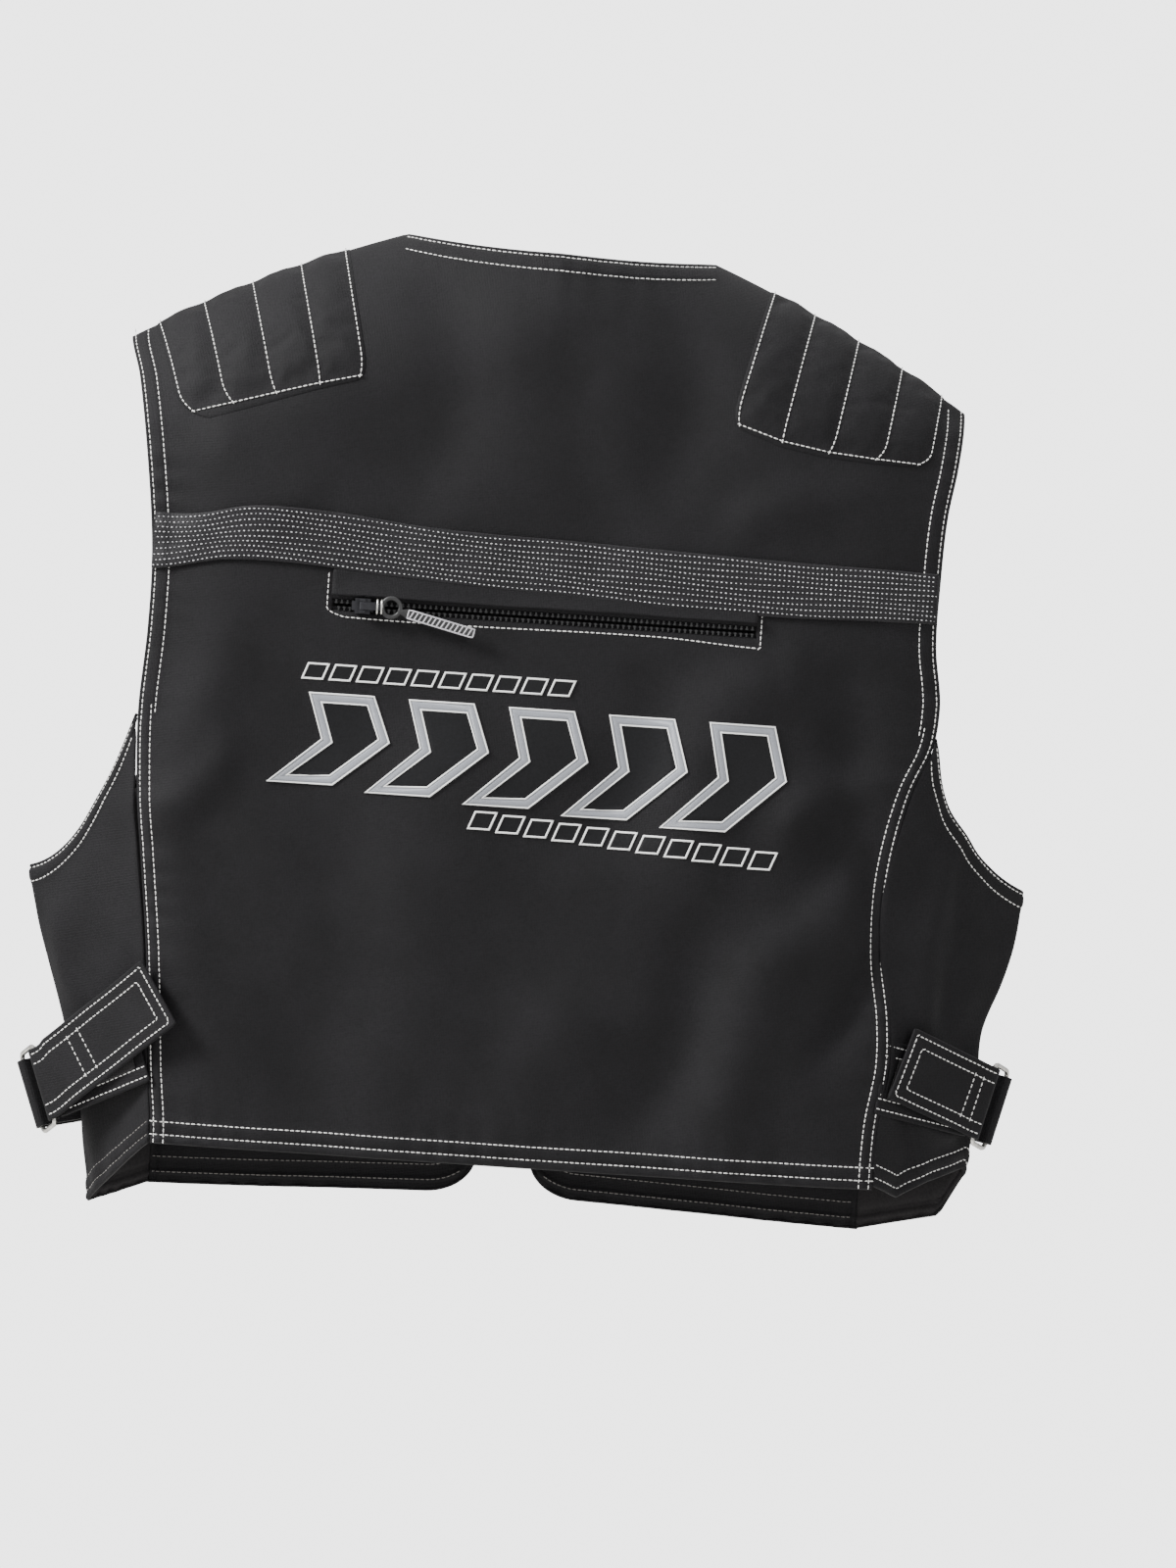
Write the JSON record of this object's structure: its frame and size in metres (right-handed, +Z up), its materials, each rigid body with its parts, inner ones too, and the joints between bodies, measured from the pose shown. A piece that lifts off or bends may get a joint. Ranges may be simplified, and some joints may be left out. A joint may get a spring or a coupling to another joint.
{
  "type": "back protector vest",
  "caption": "Sleeveless black motorcycle vest carrying a back protector, with quilted shoulders, a zipped back pocket, a reflective band and hook-and-loop side straps.",
  "frame": {"origin": "between the collar's sides, where a hanger's neck passes, on the plane between left and right", "axes": "+X to the right as seen from behind, +Y towards the vest's front, +Z up"},
  "size_m": [0.5182, 0.1052, 0.5057],
  "materials": {
    "nylon": "plain-weave nylon with a slight sheen",
    "webbing": "woven tape",
    "foam": "closed-cell foam",
    "nickel_steel": "bright nickel plate",
    "black_metal": "black zinc",
    "black_rubber": "moulded, satin",
    "reflective_tape": "black tape with rows of light reflective dots"
  },
  "bodies": {
    "vest": {"back_panel": "nylon", "back_protector_pad": "foam", "back_yoke": "nylon", "front_panel_left": "nylon", "front_panel_right": "nylon", "front_zip_box": "black_rubber", "front_zip_chain_left": "black_rubber", "front_zip_chain_right": "black_rubber", "front_zip_pin": "black_rubber", "front_zip_tape_left": "webbing", "front_zip_tape_right": "webbing", "neck_facing": "nylon", "pocket_bag": "nylon", "pocket_flap": "nylon", "pocket_zip_chain_lower": "black_rubber", "pocket_zip_chain_upper": "black_rubber", "pocket_zip_tape_lower": "webbing", "pocket_zip_tape_upper": "webbing", "reflective_band": "reflective_tape", "shoulder_cover_left": "nylon", "shoulder_cover_right": "nylon", "shoulder_foam_left": "foam", "shoulder_foam_right": "foam", "side_panel_left": "nylon", "side_panel_right": "nylon", "strap_anchor_left": "webbing", "strap_anchor_right": "webbing", "strap_base_left": "webbing", "strap_base_right": "webbing", "strap_loop_patch_left": "webbing", "strap_loop_patch_right": "webbing"},
    "pocket_slider": {"pocket_slider": "black_metal"},
    "pocket_pull": {"pocket_pull": "nickel_steel", "pull_ring": "black_rubber", "pull_tag": "black_rubber"},
    "front_slider": {"front_slider": "black_metal"},
    "front_pull": {"front_pull": "black_metal"},
    "strap_ring_left": {"strap_ring_left": "nickel_steel"},
    "strap_tab_left": {"strap_tab_left": "webbing", "strap_hook_patch_left": "webbing"},
    "strap_ring_right": {"strap_ring_right": "nickel_steel"},
    "strap_tab_right": {"strap_tab_right": "webbing", "strap_hook_patch_right": "webbing"}
  },
  "joints": [
    {"name": "pocket_zip_slide", "type": "slide", "parent": "vest", "child": "pocket_slider", "axis": [1, 0, 0], "range_m": [0, 0.19]},
    {"name": "pocket_pull_swing", "type": "hinge", "parent": "pocket_slider", "child": "pocket_pull", "pos_m": [-0.088, -0.0506, -0.1885], "axis": [0, 0, -1], "range_deg": [0, 150]},
    {"name": "front_zip_slide", "type": "slide", "parent": "vest", "child": "front_slider", "axis": [0, 0, 1], "range_m": [0, 0.335]},
    {"name": "front_pull_swing", "type": "hinge", "parent": "front_slider", "child": "front_pull", "pos_m": [0.0079, 0.0479, -0.4465], "axis": [1, 0, 0], "range_deg": [0, 150]},
    {"name": "strap_ring_tilt_left", "type": "hinge", "parent": "vest", "child": "strap_ring_left", "pos_m": [-0.24399, 0.00163, -0.44922], "axis": [0.366, -0.2113, -0.9063], "range_deg": [0, 12]},
    {"name": "strap_tab_lift_left", "type": "hinge", "parent": "strap_ring_left", "child": "strap_tab_left", "pos_m": [-0.23669, -0.0124, -0.443], "axis": [0.366, -0.2113, -0.9063], "range_deg": [0, 110]},
    {"name": "strap_ring_tilt_right", "type": "hinge", "parent": "vest", "child": "strap_ring_right", "pos_m": [0.25356, 0.007, -0.4253], "axis": [0.2532, 0.1462, 0.9563], "range_deg": [0, 12]},
    {"name": "strap_tab_lift_right", "type": "hinge", "parent": "strap_ring_right", "child": "strap_tab_right", "pos_m": [0.24561, -0.0074, -0.421], "axis": [0.2532, 0.1462, 0.9563], "range_deg": [0, 110]}
  ]
}
